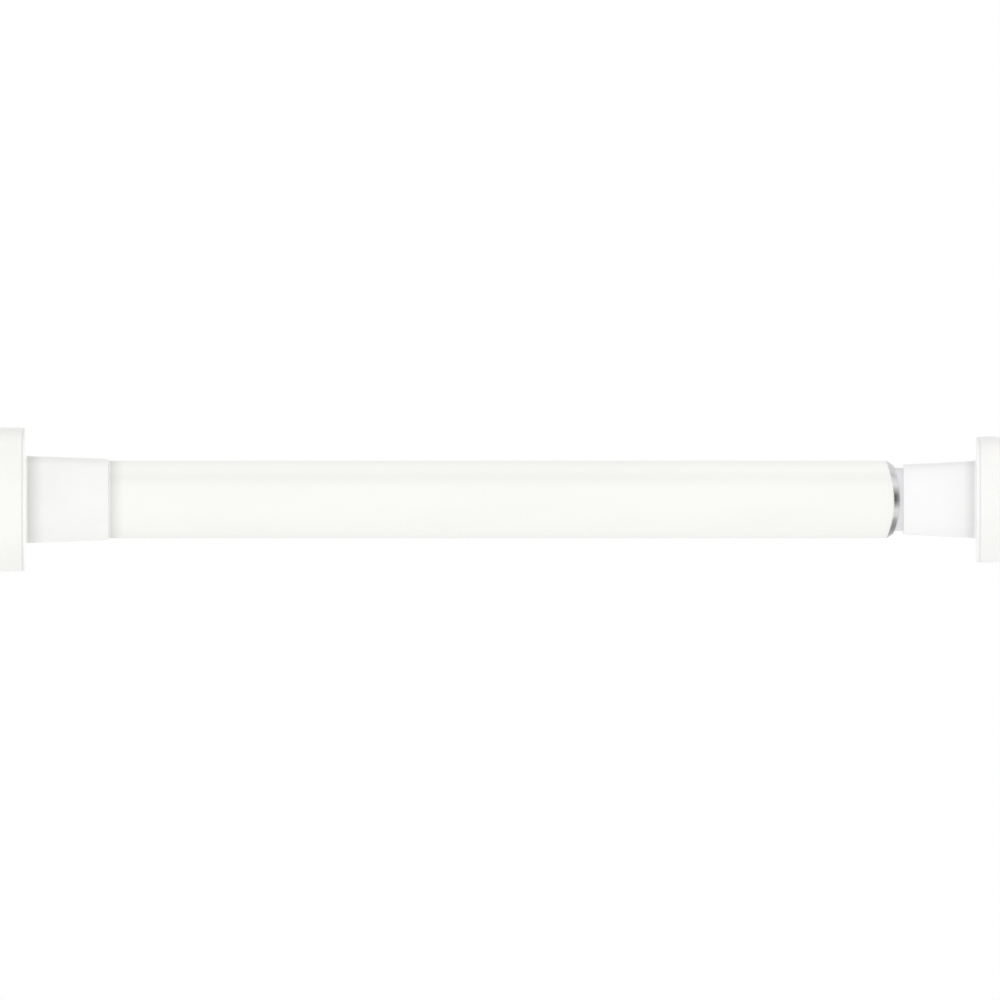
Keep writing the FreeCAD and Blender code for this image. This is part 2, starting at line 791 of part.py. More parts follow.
def make_lock_plug():
    """The plug in the thin tube's inner end, which turns the stud with the tube."""
    body = make_body("lock_plug")
    side = inner_bore - size.press_gap
    plug_end = inner_tube_start + size.lock_plug_length
    bore = size.stud_radius + size.press_gap
    bore_end = stud_end + size.end_gap
    core_floor = bore_end + size.plug_core_wall
    turn(
        body,
        "lock_plug_body",
        [
            (lock_plug_start, bore),
            (lock_plug_start, size.inner_tube_radius),
            (inner_tube_start, size.inner_tube_radius),
            (inner_tube_start, side),
            (plug_end, side),
            (plug_end, side - size.plug_core_wall),
            (core_floor, side - size.plug_core_wall),
            (core_floor, 0),
            (bore_end, 0),
            (bore_end, bore),
        ],
    )
    return body


def make_end_plug():
    """The plug in the thin tube's right end, which the right foot's screw bites."""
    body = make_body("right_end_plug")
    side = inner_bore - size.press_gap
    bore = size.screw_radius + size.press_gap
    flange_face = right.at(right.hub_front)
    plug_end = inner_tube_end - size.end_plug_length
    turn(
        body,
        "right_end_plug_body",
        [
            (flange_face, bore),
            (flange_face, size.inner_tube_radius),
            (inner_tube_end, size.inner_tube_radius),
            (inner_tube_end, side),
            (plug_end, side),
            (plug_end, bore),
        ],
    )
    return body


def check_and_export():
    """Refuse a failed object or shape, then write one file for each piece."""
    for item in document.Objects:
        if "Invalid" in item.State or "Error" in item.State:
            raise RuntimeError(f"{item.Label}: {item.State}")
    pieces = [item for item in document.Objects if item.TypeId == "PartDesign::Body"]
    for piece in pieces:
        if piece.Shape.isNull() or not piece.Shape.isValid() or len(piece.Shape.Solids) != 1:
            raise RuntimeError(f"{piece.Label}: its shape isn't one valid solid")
    os.makedirs("parts", exist_ok=True)
    for piece in pieces:
        piece.Shape.exportStep(os.path.join("parts", f"{piece.Label}.step"))
        print(f"{piece.Label}: {piece.Shape.Volume:.1f} mm3")


for foot in (left, right):
    make_pad(foot)
    make_base(foot)
    make_shell(foot)
    make_screw(foot)
make_spring_anchor()
make_spring()
make_spring_cup()
make_outer_tube()
make_mouth_bush()
make_expander()
make_cone_nut()
make_stud()
make_ring(
    "stud_stop", stud_start, stop_end, size.stud_neck_radius + size.press_gap, size.stop_radius
)
make_stud_clip()
make_lock_plug()
make_ring("inner_tube", inner_tube_start, inner_tube_end, inner_bore, size.inner_tube_radius)
make_end_plug()
document.recompute()
check_and_export()
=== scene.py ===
import math

import bpy
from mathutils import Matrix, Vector


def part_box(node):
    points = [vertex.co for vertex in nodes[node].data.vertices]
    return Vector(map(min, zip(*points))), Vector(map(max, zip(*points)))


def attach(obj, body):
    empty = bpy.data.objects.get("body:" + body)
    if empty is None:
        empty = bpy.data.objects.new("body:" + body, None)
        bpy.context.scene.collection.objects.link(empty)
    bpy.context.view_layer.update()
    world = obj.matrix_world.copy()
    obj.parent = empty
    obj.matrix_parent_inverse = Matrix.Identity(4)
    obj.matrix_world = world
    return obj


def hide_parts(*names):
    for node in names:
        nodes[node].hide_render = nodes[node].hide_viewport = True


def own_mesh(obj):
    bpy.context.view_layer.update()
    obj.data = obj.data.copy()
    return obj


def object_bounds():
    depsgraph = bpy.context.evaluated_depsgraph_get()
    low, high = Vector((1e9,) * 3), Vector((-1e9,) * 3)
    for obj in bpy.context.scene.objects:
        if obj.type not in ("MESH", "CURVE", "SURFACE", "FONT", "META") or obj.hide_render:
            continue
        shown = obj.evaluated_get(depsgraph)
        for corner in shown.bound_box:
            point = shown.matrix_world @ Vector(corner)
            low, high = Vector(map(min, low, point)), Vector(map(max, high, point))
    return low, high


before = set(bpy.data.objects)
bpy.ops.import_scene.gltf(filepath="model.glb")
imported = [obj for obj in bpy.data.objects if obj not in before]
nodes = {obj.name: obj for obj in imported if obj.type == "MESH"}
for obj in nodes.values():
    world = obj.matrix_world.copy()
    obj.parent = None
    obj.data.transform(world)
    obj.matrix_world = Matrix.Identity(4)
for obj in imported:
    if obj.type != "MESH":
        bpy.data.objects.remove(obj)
cadLow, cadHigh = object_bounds()
print("frame loaded:", len(nodes), "nodes")

# Places along the rod, read from the solids
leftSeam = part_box("left_base")[1].x  # where base and cap meet
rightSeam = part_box("right_base")[0].x
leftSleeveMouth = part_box("left_shell")[1].x
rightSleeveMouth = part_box("right_shell")[0].x
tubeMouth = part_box("outer_tube")[1].x
rodEnd = cadHigh.x


# Small helpers for node trees

def addNode(tree, kind, settings=None, inputs=None):
    node = tree.nodes.new(kind)
    for name, value in (settings or {}).items():
        setattr(node, name, value)
    for name, value in (inputs or {}).items():
        if isinstance(value, bpy.types.NodeSocket):
            tree.links.new(value, node.inputs[name])
        else:
            node.inputs[name].default_value = value
    return node


def doMath(tree, operation, first, second=0.0):
    inputs = {0: first, 1: second}
    return addNode(tree, "ShaderNodeMath", {"operation": operation}, inputs).outputs[0]


def add(tree, first, second):
    return doMath(tree, "ADD", first, second)


def subtract(tree, first, second):
    return doMath(tree, "SUBTRACT", first, second)


def multiply(tree, first, second):
    return doMath(tree, "MULTIPLY", first, second)


def mapRange(tree, value, low, high, toLow=0.0, toHigh=1.0, smooth=True):
    settings = {"interpolation_type": "SMOOTHSTEP" if smooth else "LINEAR", "clamp": True}
    inputs = {
        "Value": value, "From Min": low, "From Max": high, "To Min": toLow, "To Max": toHigh,
    }
    return addNode(tree, "ShaderNodeMapRange", settings, inputs).outputs["Result"]


def mixColor(tree, factor, first, second):
    inputs = {0: factor, 6: first, 7: second}
    return addNode(tree, "ShaderNodeMix", {"data_type": "RGBA"}, inputs).outputs[2]


def stretch(tree, vector, amounts):
    inputs = {0: vector, 1: amounts}
    return addNode(
        tree, "ShaderNodeVectorMath", {"operation": "MULTIPLY"}, inputs
    ).outputs[0]


def addNoise(tree, vector, scale, detail=2.0):
    inputs = {"Vector": vector, "Scale": scale, "Detail": detail}
    return addNode(tree, "ShaderNodeTexNoise", None, inputs).outputs[0]


def newGroup(name, inputs, outputs):
    group = bpy.data.node_groups.new(name, "ShaderNodeTree")
    for label, kind, default in inputs:
        socket = group.interface.new_socket(label, in_out="INPUT", socket_type=kind)
        if default is not None:
            socket.default_value = default
    for label, kind in outputs:
        group.interface.new_socket(label, in_out="OUTPUT", socket_type=kind)
    entry = group.nodes.new("NodeGroupInput")
    leave = group.nodes.new("NodeGroupOutput")
    return group, entry.outputs, leave.inputs


def place(tree, group, inputs):
    return addNode(tree, "ShaderNodeGroup", {"node_tree": group}, inputs).outputs


# Shared effects: each group gives masks, values or heights only

def makeRodPlace():
    # where a point lies: along the rod, and round it from the front (0) over the top
    group, given, result = newGroup(
        "rodPlace",
        [("Point", "NodeSocketVector", None)],
        [("Along", "NodeSocketFloat"), ("Round", "NodeSocketFloat")],
    )
    split = addNode(group, "ShaderNodeSeparateXYZ", None, {"Vector": given["Point"]}).outputs
    frontward = multiply(group, split["Y"], -1.0)
    group.links.new(split["X"], result["Along"])
    group.links.new(doMath(group, "ARCTAN2", split["Z"], frontward), result["Round"])
    return group


skinGrain = {
    "broadScale": 70.0,
    "broadDetail": 3.0,
    "mottleFrom": 0.3,
    "mottleTo": 0.7,
    "peelScale": 1400.0,
    "speckScale": 5200.0,
    "speckDetail": 1.0,
    "speckHeight": 0.25,
}


def makeSkin():
    # the faint mottle and orange peel of a moulded or coated white surface
    group, given, result = newGroup(
        "skin",
        [("Point", "NodeSocketVector", None),
         ("Peel Scale", "NodeSocketFloat", skinGrain["peelScale"]),
         ("Stretch", "NodeSocketVector", (1.0, 1.0, 1.0))],
        [("Mottle", "NodeSocketFloat"), ("Height", "NodeSocketFloat")],
    )
    stretched = stretch(group, given["Point"], given["Stretch"])
    broad = addNoise(group, stretched, skinGrain["broadScale"], skinGrain["broadDetail"])
    fine = addNoise(group, given["Point"], given["Peel Scale"])
    specks = addNoise(group, given["Point"], skinGrain["speckScale"], skinGrain["speckDetail"])
    height = add(group, fine, multiply(group, specks, skinGrain["speckHeight"]))
    mottle = mapRange(group, broad, skinGrain["mottleFrom"], skinGrain["mottleTo"])
    group.links.new(mottle, result["Mottle"])
    group.links.new(height, result["Height"])
    return group


def makeStationShade():
    # a soft band round the rod, the mask of the painted shade and painted highlight bands: it
    # rises to its peak on one side and dies away on the other
    group, given, result = newGroup(
        "stationShade",
        [("Along", "NodeSocketFloat", 0.0), ("Peak", "NodeSocketFloat", 0.0),
         ("Before", "NodeSocketFloat", 0.001), ("After", "NodeSocketFloat", 0.004),
         ("Depth", "NodeSocketFloat", 0.2), ("Fall Power", "NodeSocketFloat", 1.3)],
        [("Mask", "NodeSocketFloat")],
    )
    past = subtract(group, given["Along"], given["Peak"])
    start = multiply(group, given["Before"], -1.0)
    rise = mapRange(group, past, start, 0.0)
    fall = mapRange(group, past, 0.0, given["After"], 1.0, 0.0, smooth=False)
    fall = doMath(group, "POWER", fall, given["Fall Power"])
    both = multiply(group, multiply(group, rise, fall), given["Depth"])
    group.links.new(both, result["Mask"])
    return group


handlingMarks = {
    "turn": (0.3, 0.5, 0.9),
    "lineScale": (160.0, 2600.0, 900.0),
    "lineFrom": 0.66,
    "lineTo": 0.74,
    "patchScale": 120.0,
    "patchFrom": 0.52,
    "patchTo": 0.66,
}


def makeScuffs():
    # a few hair-fine handling marks, long in one direction
    group, given, result = newGroup(
        "scuffs",
        [("Point", "NodeSocketVector", None), ("Amount", "NodeSocketFloat", 0.5)],
        [("Mask", "NodeSocketFloat")],
    )
    inputs = {
        "Vector": given["Point"],
        "Rotation": handlingMarks["turn"],
        "Scale": handlingMarks["lineScale"],
    }
    turned = addNode(group, "ShaderNodeMapping", None, inputs).outputs[0]
    lines = addNoise(group, turned, 1.0)
    patches = addNoise(group, given["Point"], handlingMarks["patchScale"])
    thin = mapRange(group, lines, handlingMarks["lineFrom"], handlingMarks["lineTo"])
    where = mapRange(group, patches, handlingMarks["patchFrom"], handlingMarks["patchTo"])
    both = multiply(group, thin, where)
    group.links.new(multiply(group, both, given["Amount"]), result["Mask"])
    return group


turnedLines = {
    "squeeze": (1.0, 0.03, 0.03),
    "scale": 9000.0,
    "cloudScale": 420.0,
    "cloudDetail": 4.0,
    "cloudShare": 0.5,
}


def makeTurnedSteel():
    # fine lines that run round the axis, as on drawn or turned steel
    group, given, result = newGroup(
        "turnedSteel",
        [("Point", "NodeSocketVector", None),
         ("Lines", "NodeSocketFloat", turnedLines["scale"])],
        [("Tone", "NodeSocketFloat"), ("Height", "NodeSocketFloat")],
    )
    squeezed = stretch(group, given["Point"], turnedLines["squeeze"])
    lines = addNoise(group, squeezed, given["Lines"])
    cloud = addNoise(group, given["Point"], turnedLines["cloudScale"], turnedLines["cloudDetail"])
    tone = add(
        group,
        multiply(group, lines, 1.0 - turnedLines["cloudShare"]),
        multiply(group, cloud, turnedLines["cloudShare"]),
    )
    group.links.new(tone, result["Tone"])
    group.links.new(lines, result["Height"])
    return group


rodPlace = makeRodPlace()
skin = makeSkin()
stationShade = makeStationShade()
scuffs = makeScuffs()
turnedSteel = makeTurnedSteel()
print("shared effects made")


# What every material needs

def newMaterial(name, **plain):
    material = bpy.data.materials.new(name)
    material.use_nodes = True
    tree = material.node_tree
    shader = tree.nodes["Principled BSDF"]
    for label, value in plain.items():
        shader.inputs[label.replace("_", " ")].default_value = value
    point = addNode(tree, "ShaderNodeTexCoord").outputs["Object"]
    return material, tree, shader, point


def setRoughness(tree, shader, rough, *rises):
    # each rise is a mask and how much it adds
    for mask, amount in rises:
        rough = add(tree, rough, multiply(tree, mask, amount))
    tree.links.new(rough, shader.inputs["Roughness"])


def addBump(tree, shader, height, strength, distance):
    inputs = {"Height": height, "Strength": strength, "Distance": distance}
    bump = addNode(tree, "ShaderNodeBump", None, inputs)
    tree.links.new(bump.outputs["Normal"], shader.inputs["Normal"])


def shadeAt(tree, where, band):
    peak, before, after, depth = band
    inputs = {
        "Along": where["Along"], "Peak": peak, "Before": before, "After": after, "Depth": depth,
    }
    return place(tree, stationShade, inputs)["Mask"]


# White moulded feet

whitePlastic = {
    "leftBase": (0.902, 0.903, 0.877, 1.0),
    "leftCap": (0.912, 0.911, 0.895, 1.0),
    "rightBase": (0.914, 0.913, 0.892, 1.0),
    "rightCap": (0.928, 0.925, 0.924, 1.0),
    "mottle": 0.97,
    "shade": (0.05, 0.05, 0.045, 1.0),
    "light": (0.985, 0.985, 0.98, 1.0),
    "gloss": 0.3,
    "mottleDull": 0.05,
    "markAmount": 0.35,
    "markDull": 0.15,
    "peel": 0.05,
    "peelDepth": 0.00005,
}

# Bands round the feet, painted shade in the creases and at the sleeve roots and a painted
# highlight on the left rim: the place of the peak, its reach before and after, and its depth
footBands = {
    "leftCreaseShade": (leftSeam + 0.00012, 0.0001, 0.0003, 0.24),
    # painted highlight on the left cap's rim, beside the sleeve root
    "leftRimLight": (leftSeam + 0.00095, 0.0005, 0.0003, 1.0),
    "leftRootShade": (leftSeam + 0.0017, 0.0005, 0.0045, 0.28),
    "rightCreaseShade": (rightSeam - 0.0001, 0.0004, 0.0002, 0.10),
    "rightRootShade": (rightSeam - 0.0017, 0.0034, 0.0006, 0.16),
}


def makeWhitePlastic(part, shades, lights=()):
    material, tree, shader, point = newMaterial(part + "White", IOR=1.46)
    where = place(tree, rodPlace, {"Point": point})
    surface = place(tree, skin, {"Point": point})
    white = whitePlastic[part]
    dull = tuple(channel * whitePlastic["mottle"] for channel in white[:3]) + (1.0,)
    color = mixColor(tree, surface["Mottle"], white, dull)
    # painted shade bands darken the white, painted highlight bands lighten it
    for band in shades:
        mask = shadeAt(tree, where, footBands[band])
        color = mixColor(tree, mask, color, whitePlastic["shade"])
    for band in lights:
        mask = shadeAt(tree, where, footBands[band])
        color = mixColor(tree, mask, color, whitePlastic["light"])
    tree.links.new(color, shader.inputs["Base Color"])
    marks = place(tree, scuffs, {"Point": point, "Amount": whitePlastic["markAmount"]})["Mask"]
    setRoughness(
        tree, shader, whitePlastic["gloss"],
        (surface["Mottle"], whitePlastic["mottleDull"]), (marks, whitePlastic["markDull"]),
    )
    addBump(tree, shader, surface["Height"], whitePlastic["peel"], whitePlastic["peelDepth"])
    return material


# The thick tube's coating, and the bare steel where its mouth is drawn in

thickCoating = {
    "white": (0.906, 0.907, 0.880, 1.0),
    "whiteShade": (0.890, 0.891, 0.864, 1.0),
    "shade": (0.05, 0.05, 0.045, 1.0),
    "gloss": 0.36,
    "mottleDull": 0.04,
    "peelScale": 1100.0,
    "stretch": (0.25, 1.0, 1.0),
    "peel": 0.5,
    "bump": 0.08,
    "bumpDepth": 0.00008,
    # painted shade beside the left sleeve's mouth: peak, reach before and after, depth
    "sleeveShade": (leftSleeveMouth + 0.0007, 0.0006, 0.0036, 0.22),
    "shadeBandAngle": 0.60,
    "shadeBandHalfWidth": 0.32,
    "shadeBandDepth": 0.045,
}

bareMouth = {
    "edge": tubeMouth - 0.0038,
    "bow": 0.00224,
    "bowPower": 1.6,
    "turn": 0.065,
    "fade": 0.0002,
    "chipScale": 2400.0,
    "chipReach": 0.0003,
    "metal": 0.5,
    "grain": 0.15,
    "lipFrom": 0.0004,
    "lipTo": 0.0018,
    "lipLight": 0.42,
    "lipTone": (0.72, 0.72, 0.72, 1.0),
}

# Painted reflections and shade on the bare steel round the mouth, how light it is: degrees from
# the front over the top, and a level
paintedReflectionTones = [
    (-180, 0.13), (-150, 0.64), (-125, 0.74), (-100, 0.64), (-78, 0.53), (-64, 0.265),
    (-50, 0.22), (-38, 0.31), (-29, 0.68), (-18, 0.78), (-9, 0.32), (-2, 0.055),
    (7, 0.055), (16, 0.38), (26, 0.78), (36, 0.70), (45, 0.58), (55, 0.88),
    (66, 0.92), (80, 0.84), (110, 0.82), (140, 0.64), (180, 0.13),
]


def makeRamp(tree, factor, stops):
    node = addNode(tree, "ShaderNodeValToRGB", None, {"Fac": factor})
    elements = node.color_ramp.elements
    elements[0].position, elements[1].position = stops[0][0], stops[-1][0]
    for position, level in stops[1:-1]:
        elements.new(position)
    for element, (position, level) in zip(elements, stops):
        element.color = (level, level, level, 1.0)
    return node.outputs["Color"]


def makeThickTubeCoat():
    material, tree, shader, point = newMaterial(
        "thickTubeCoat", IOR=1.4, Specular_IOR_Level=0.06
    )
    where = place(tree, rodPlace, {"Point": point})
    surface = place(tree, skin, {
        "Point": point,
        "Peel Scale": thickCoating["peelScale"],
        "Stretch": thickCoating["stretch"],
    })
    white = mixColor(
        tree, surface["Mottle"], thickCoating["white"], thickCoating["whiteShade"]
    )
    # painted shade on the tube beside the left sleeve's mouth
    mask = shadeAt(tree, where, thickCoating["sleeveShade"])
    white = mixColor(tree, mask, white, thickCoating["shade"])

    # painted shade: a faint darker band runs along the tube above its front
    offShadeBand = doMath(tree, "ABSOLUTE", subtract(tree, where["Round"], thickCoating["shadeBandAngle"]))
    shadeBand = mapRange(
        tree, offShadeBand, 0.0, thickCoating["shadeBandHalfWidth"], thickCoating["shadeBandDepth"], 0.0
    )
    white = mixColor(tree, shadeBand, white, thickCoating["shade"])

    # the coating ends in a bow: further along at the front and back than above and below
    facing = doMath(tree, "COSINE", add(tree, where["Round"], bareMouth["turn"]))
    facing = doMath(tree, "POWER", doMath(tree, "ABSOLUTE", facing), bareMouth["bowPower"])
    bow = multiply(tree, facing, bareMouth["bow"])
    chip = subtract(tree, addNoise(tree, point, bareMouth["chipScale"]), 0.5)
    ragged = multiply(tree, chip, bareMouth["chipReach"])
    edge = add(tree, add(tree, bow, ragged), bareMouth["edge"])
    past = subtract(tree, where["Along"], edge)
    bare = mapRange(tree, past, -bareMouth["fade"], bareMouth["fade"])

    # painted highlight: the bare steel is lighter towards its rim, most at the front and back
    steel = place(tree, turnedSteel, {"Point": point})
    # painted reflections and shade: the steel's lightness follows its angle round the rod
    turn = mapRange(tree, where["Round"], -math.pi, math.pi, smooth=False)
    stops = [((angle + 180) / 360, level) for angle, level in paintedReflectionTones]
    tone = makeRamp(tree, turn, stops)
    lip = mapRange(
        tree, past, bareMouth["lipFrom"], bareMouth["lipTo"], 0.0, bareMouth["lipLight"]
    )
    lip = multiply(tree, lip, multiply(tree, facing, facing))
    tone = mixColor(tree, lip, tone, bareMouth["lipTone"])
    metal = mixColor(tree, bareMouth["grain"], tone, steel["Tone"])

    tree.links.new(mixColor(tree, bare, white, metal), shader.inputs["Base Color"])
    tree.links.new(multiply(tree, bare, bareMouth["metal"]), shader.inputs["Metallic"])
    setRoughness(
        tree, shader, thickCoating["gloss"], (surface["Mottle"], thickCoating["mottleDull"])
    )
    peel = multiply(tree, surface["Height"], thickCoating["peel"])
    height = subtract(tree, peel, bare)
    addBump(tree, shader, height, thickCoating["bump"], thickCoating["bumpDepth"])
    return material


# The thin tube's coating, a little darker beside the right sleeve with painted shade

thinCoating = {
    "white": (0.87, 0.87, 0.872, 1.0),
    "shade": (0.80, 0.79, 0.82, 1.0),
    "shadeFrom": 0.006,
    "shadeFull": 0.003,
    "gloss": 0.36,
    "markAmount": 0.6,
    "markDull": 0.2,
    "peelScale": 1100.0,
    "stretch": (0.25, 1.0, 1.0),
    "peel": 0.06,
    "peelDepth": 0.00005,
}


def makeThinTubeCoat():
    material, tree, shader, point = newMaterial("thinTubeCoat", IOR=1.46)
    where = place(tree, rodPlace, {"Point": point})
    surface = place(tree, skin, {
        "Point": point,
        "Peel Scale": thinCoating["peelScale"],
        "Stretch": thinCoating["stretch"],
    })
    # painted shade where the tube meets the right sleeve
    start = rightSleeveMouth - thinCoating["shadeFrom"]
    near = mapRange(tree, where["Along"], start, rightSleeveMouth - thinCoating["shadeFull"])
    color = mixColor(tree, near, thinCoating["white"], thinCoating["shade"])
    tree.links.new(color, shader.inputs["Base Color"])
    marks = place(tree, scuffs, {"Point": point, "Amount": thinCoating["markAmount"]})["Mask"]
    setRoughness(tree, shader, thinCoating["gloss"], (marks, thinCoating["markDull"]))
    addBump(tree, shader, surface["Height"], thinCoating["peel"], thinCoating["peelDepth"])
    return material


# Matt materials: the rubber pads, and the grey plastic inside

padRubber = {
    "tone": (0.70, 0.70, 0.685, 1.0),
    "toneShade": (0.60, 0.60, 0.585, 1.0),
    "roughness": 0.72,
    "mottleDull": 0.1,
    "peelScale": 3200.0,
    "peel": 0.35,
    "peelDepth": 0.00012,
}

innerGrey = {
    "tone": (0.33, 0.34, 0.35, 1.0),
    "toneShade": (0.27, 0.28, 0.29, 1.0),
    "roughness": 0.45,
    "mottleDull": 0.1,
    "peelScale": 2400.0,
    "peel": 0.2,
    "peelDepth": 0.00006,
}


def makeMatt(name, look):
    material, tree, shader, point = newMaterial(name, IOR=1.5)
    surface = place(tree, skin, {"Point": point, "Peel Scale": look["peelScale"]})
    color = mixColor(tree, surface["Mottle"], look["tone"], look["toneShade"])
    tree.links.new(color, shader.inputs["Base Color"])
    setRoughness(tree, shader, look["roughness"], (surface["Mottle"], look["mottleDull"]))
    addBump(tree, shader, surface["Height"], look["peel"], look["peelDepth"])
    return material


# Steel inside: screws, stud, clip and spring wire

zincCoat = {
    "light": (0.60, 0.60, 0.59, 1.0),
    "dark": (0.42, 0.42, 0.42, 1.0),
    "roughness": 0.25,
    "lines": 9000.0,
}

wireCoat = {
    "light": (0.50, 0.49, 0.47, 1.0),
    "dark": (0.33, 0.32, 0.31, 1.0),
    "roughness": 0.3,
    "lines": 7000.0,
}

steelSurface = {
    "toneFrom": 0.35,
    "toneTo": 0.65,
    "toneDull": 0.15,
    "bump": 0.2,
    "bumpDepth": 0.00003,
}


def makeSteel(name, look):
    material, tree, shader, point = newMaterial(name, Metallic=1.0)
    steel = place(tree, turnedSteel, {"Point": point, "Lines": look["lines"]})
    tone = mapRange(tree, steel["Tone"], steelSurface["toneFrom"], steelSurface["toneTo"])
    color = mixColor(tree, tone, look["dark"], look["light"])
    tree.links.new(color, shader.inputs["Base Color"])
    setRoughness(tree, shader, look["roughness"], (steel["Tone"], steelSurface["toneDull"]))
    addBump(tree, shader, steel["Height"], steelSurface["bump"], steelSurface["bumpDepth"])
    return material


leftBaseWhite = makeWhitePlastic("leftBase", ["leftCreaseShade"])
leftCapWhite = makeWhitePlastic("leftCap", ["leftCreaseShade", "leftRootShade"], ["leftRimLight"])
rightBaseWhite = makeWhitePlastic("rightBase", ["rightCreaseShade"])
rightCapWhite = makeWhitePlastic("rightCap", ["rightCreaseShade", "rightRootShade"])
thickCoat = makeThickTubeCoat()
thinCoat = makeThinTubeCoat()
rubber = makeMatt("padRubber", padRubber)
zincSteel = makeSteel("zincSteel", zincCoat)
springWire = makeSteel("springWire", wireCoat)
greyPlastic = makeMatt("greyPlastic", innerGrey)
print("materials made")


def dress(material, *names):
    for name in names:
        mesh = nodes[name].data
        mesh.materials.clear()
        mesh.materials.append(material)


dress(leftBaseWhite, "left_base")
dress(leftCapWhite, "left_shell")
dress(rightBaseWhite, "right_base")
dress(rightCapWhite, "right_shell")
dress(rubber, "left_pad", "right_pad")
dress(thickCoat, "outer_tube")
dress(thinCoat, "inner_tube")
dress(zincSteel, "left_screw", "right_screw", "lock_stud", "stud_stop", "stud_clip")
dress(greyPlastic, "spring_anchor", "spring_cup", "mouth_bush", "expander", "cone_nut")
dress(greyPlastic, "lock_plug", "right_end_plug")
dress(springWire, "spring")


# The spring: closed, ground coils at its ends and open coils between

spring = {
    "wireRadius": 0.0009,
    "coilRadius": 0.0069,
    "closedPitch": 0.0019,
    "closedTurns": 1.0,
    "turns": 7.0,
    "blendTurns": 0.5,
    "groundDepth": 0.0004,
    "stepsPerTurn": 48,
    "sides": 14,
    "stroke": 0.010,
}


def coilPlaces(start, end):
    # the wire's middle: turns wound so far, and the place along the rod
    closed = spring["closedTurns"]
    closedLength = 2 * closed * spring["closedPitch"]
    openPitch = (end - start - closedLength) / (spring["turns"] - 2 * closed)
    count = int(spring["turns"] * spring["stepsPerTurn"])
    places, along = [], start
    for index in range(count + 1):
        turn = index / spring["stepsPerTurn"]
        inside = min(turn, spring["turns"] - turn) - closed
        share = min(max(inside / spring["blendTurns"] + 0.5, 0.0), 1.0)
        eased = share * share * (3 - 2 * share)
        places.append((turn, along))
        pitch = spring["closedPitch"] + (openPitch - spring["closedPitch"]) * eased
        along += pitch / spring["stepsPerTurn"]
    spread = (end - start) / (places[-1][1] - start)
    return [(turn, start + (along - start) * spread) for turn, along in places]


def makeSpring():
    low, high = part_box("spring")
    wire, sides = spring["wireRadius"], spring["sides"]
    inset = wire - spring["groundDepth"]
    vertices, faces = [], []
    for turn, along in coilPlaces(low.x + inset, high.x - inset):
        angle = 2 * math.pi * turn
        for side in range(sides):
            around = 2 * math.pi * side / sides
            out = spring["coilRadius"] + wire * math.cos(around)
            x = min(max(along + wire * math.sin(around), low.x), high.x)  # ground flat
            vertices.append((x, -out * math.sin(angle), out * math.cos(angle)))
    for ring in range(0, len(vertices) - sides, sides):
        for side in range(sides):
            here, beside = ring + side, ring + (side + 1) % sides
            faces.append((here, beside, beside + sides, here + sides))
    faces.append(tuple(reversed(range(sides))))
    faces.append(tuple(range(len(vertices) - sides, len(vertices))))
    mesh = bpy.data.meshes.new("springCoils")
    mesh.from_pydata(vertices, [], faces)
    mesh.polygons.foreach_set("use_smooth", [True] * len(faces))
    mesh.materials.append(springWire)
    coils = bpy.data.objects.new("springCoils", mesh)
    bpy.context.scene.collection.objects.link(coils)
    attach(coils, "left_end")
    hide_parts("spring")
    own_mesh(coils)


makeSpring()
print("spring made")


# Floor, light and camera

floorPaper = {
    "drop": -0.19,
    "size": 6.0,
    "tone": (0.95, 0.95, 0.95, 1.0),
    "grain": 0.99,
    "grainScale": 40.0,
    "fadeFrom": 0.25,
    "fadeTo": 1.1,
}


def makeFloorMaterial():
    material, tree, shader, point = newMaterial("floorPaper", Roughness=0.9)
    tone = floorPaper["tone"]
    dull = tuple(channel * floorPaper["grain"] for channel in tone[:3]) + (1.0,)
    color = mixColor(tree, addNoise(tree, point, floorPaper["grainScale"]), tone, dull)
    tree.links.new(color, shader.inputs["Base Color"])

    # the camera sees the paper fade into the white room away from the rod
    far = addNode(tree, "ShaderNodeVectorMath", {"operation": "LENGTH"}, {0: point})
    fade = mapRange(tree, far.outputs["Value"], floorPaper["fadeFrom"], floorPaper["fadeTo"])
    seen = addNode(tree, "ShaderNodeLightPath").outputs["Is Camera Ray"]
    glow = addNode(tree, "ShaderNodeEmission", None, {"Color": (1.0, 1.0, 1.0, 1.0)})
    faded = addNode(tree, "ShaderNodeMixShader", None, {
        0: multiply(tree, fade, seen), 1: shader.outputs[0], 2: glow.outputs[0],
    })

    # from below the paper is clear, so the underside of the rod can be looked at
    below = addNode(tree, "ShaderNodeNewGeometry").outputs["Backfacing"]
    clear = addNode(tree, "ShaderNodeBsdfTransparent")
    sided = addNode(tree, "ShaderNodeMixShader", None, {
        0: multiply(tree, below, seen), 1: faded.outputs[0], 2: clear.outputs[0],
    })
    tree.links.new(sided.outputs[0], tree.nodes["Material Output"].inputs["Surface"])
    return material


def makeFloor():
    half = floorPaper["size"] / 2
    corners = [(-half, -half), (half, -half), (half, half), (-half, half)]
    mesh = bpy.data.meshes.new("floor")
    mesh.from_pydata([(x, y, floorPaper["drop"]) for x, y in corners], [], [(0, 1, 2, 3)])
    mesh.materials.append(makeFloorMaterial())
    floor = bpy.data.objects.new("floor", mesh)
    floor.location.x = rodEnd / 2
    bpy.context.scene.collection.objects.link(floor)


# Angles are in radians above the horizon behind the rod
room = {
    "level": 0.889,
    "behindDim": 0.35,
    "dimStarts": (0.34, 0.54),
    "dimEnds": (0.87, 1.37),
}


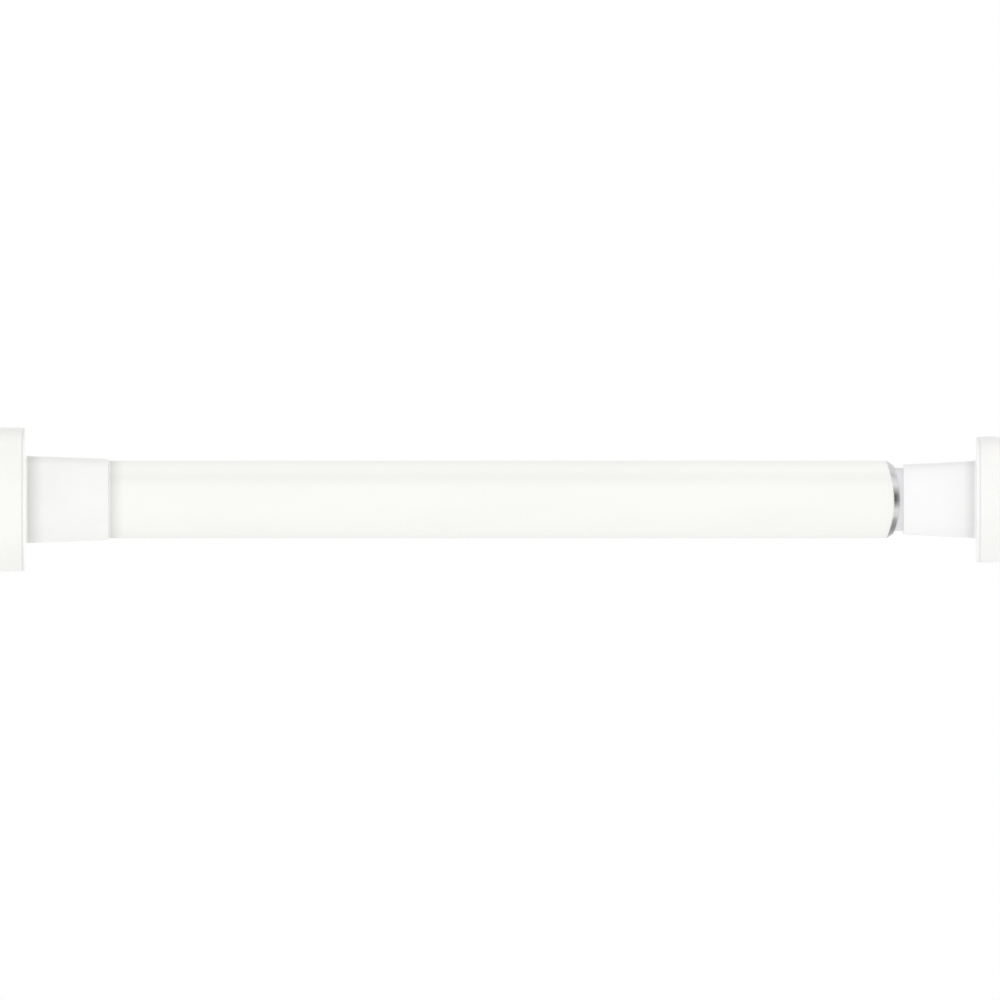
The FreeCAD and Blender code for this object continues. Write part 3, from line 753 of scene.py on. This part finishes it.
def makeWorld():
    # white where the camera looks; gloss also sees a dimmer strip of room above and behind
    world = bpy.data.worlds.new("studioRoom")
    bpy.context.scene.world = world
    world.use_nodes = True
    tree = world.node_tree
    tree.nodes.clear()
    path = addNode(tree, "ShaderNodeLightPath").outputs
    way = addNode(tree, "ShaderNodeTexCoord").outputs["Generated"]
    parts = addNode(tree, "ShaderNodeSeparateXYZ", None, {"Vector": way}).outputs
    climb = doMath(tree, "ARCTAN2", parts["Z"], parts["Y"])
    enters = mapRange(tree, climb, *room["dimStarts"])
    leaves = mapRange(tree, climb, *room["dimEnds"], 1.0, 0.0)
    strip = multiply(tree, enters, leaves)
    behind = mapRange(tree, strip, 0.0, 1.0, 1.0, room["behindDim"])
    glossy = path["Is Glossy Ray"]
    inGloss = mapRange(tree, glossy, 0.0, 1.0, room["level"], behind, smooth=False)
    seen = doMath(tree, "MAXIMUM", path["Is Camera Ray"], path["Is Transmission Ray"])
    level = mapRange(tree, seen, 0.0, 1.0, inGloss, 1.0, smooth=False)
    inputs = {"Color": (1.0, 1.0, 1.0, 1.0), "Strength": level}
    background = addNode(tree, "ShaderNodeBackground", None, inputs)
    output = addNode(tree, "ShaderNodeOutputWorld")
    tree.links.new(background.outputs[0], output.inputs["Surface"])


# Soft lights that only the surfaces feel: place, width, height and power
softboxes = {
    "frontSoftbox": ((0.15, -1.2, 0.05), 1.6, 0.9, 1.5),
    "backSoftbox": ((0.15, 1.2, 0.15), 1.6, 0.9, 2.4),
    "topSoftbox": ((0.15, -0.1, 1.1), 1.4, 0.6, 0.9),
    "underSoftbox": ((0.15, -0.06, -0.18), 1.4, 0.3, 0.06),
    "leftSoftbox": ((-1.0, -0.5, 0.1), 0.8, 0.8, 1.8),
    "rightSoftbox": ((1.3, -0.5, 0.1), 0.8, 0.8, 1.8),
}


def addSoftbox(name):
    location, width, height, power = softboxes[name]
    data = bpy.data.lights.new(name, "AREA")
    data.shape = "RECTANGLE"
    data.size, data.size_y = width, height
    data.energy = power
    light = bpy.data.objects.new(name, data)
    light.location = location
    aim = Vector((rodEnd / 2, 0, 0)) - Vector(location)
    light.rotation_euler = aim.to_track_quat("-Z", "Y").to_euler()
    light.visible_camera = False
    light.visible_glossy = False
    bpy.context.scene.collection.objects.link(light)


camera = {
    "pictureSize": 1000,
    "axisRow": 499.5,
    "middleColumn": 500.0,
    "leftEdge": 0.0080,
    "metresPerPixel": 0.0002839,
    "distance": 12.6,
    "sensor": 36.0,
    "clip": (0.1, 40.0),
}


def makeCamera():
    data = bpy.data.cameras.new("camera")
    width = camera["pictureSize"] * camera["metresPerPixel"]
    data.sensor_width = camera["sensor"]
    data.lens = camera["distance"] * camera["sensor"] / width
    data.clip_start, data.clip_end = camera["clip"]
    view = bpy.data.objects.new("camera", data)
    along = camera["leftEdge"] + camera["middleColumn"] * camera["metresPerPixel"]
    up = (camera["axisRow"] - camera["pictureSize"] / 2) * camera["metresPerPixel"]
    view.location = (along, -camera["distance"], up)
    view.rotation_euler = (math.pi / 2, 0, 0)
    bpy.context.scene.collection.objects.link(view)
    bpy.context.scene.camera = view


makeFloor()
makeWorld()
for name in softboxes:
    addSoftbox(name)
makeCamera()
bpy.context.scene.view_settings.view_transform = "Standard"
print("studio made")
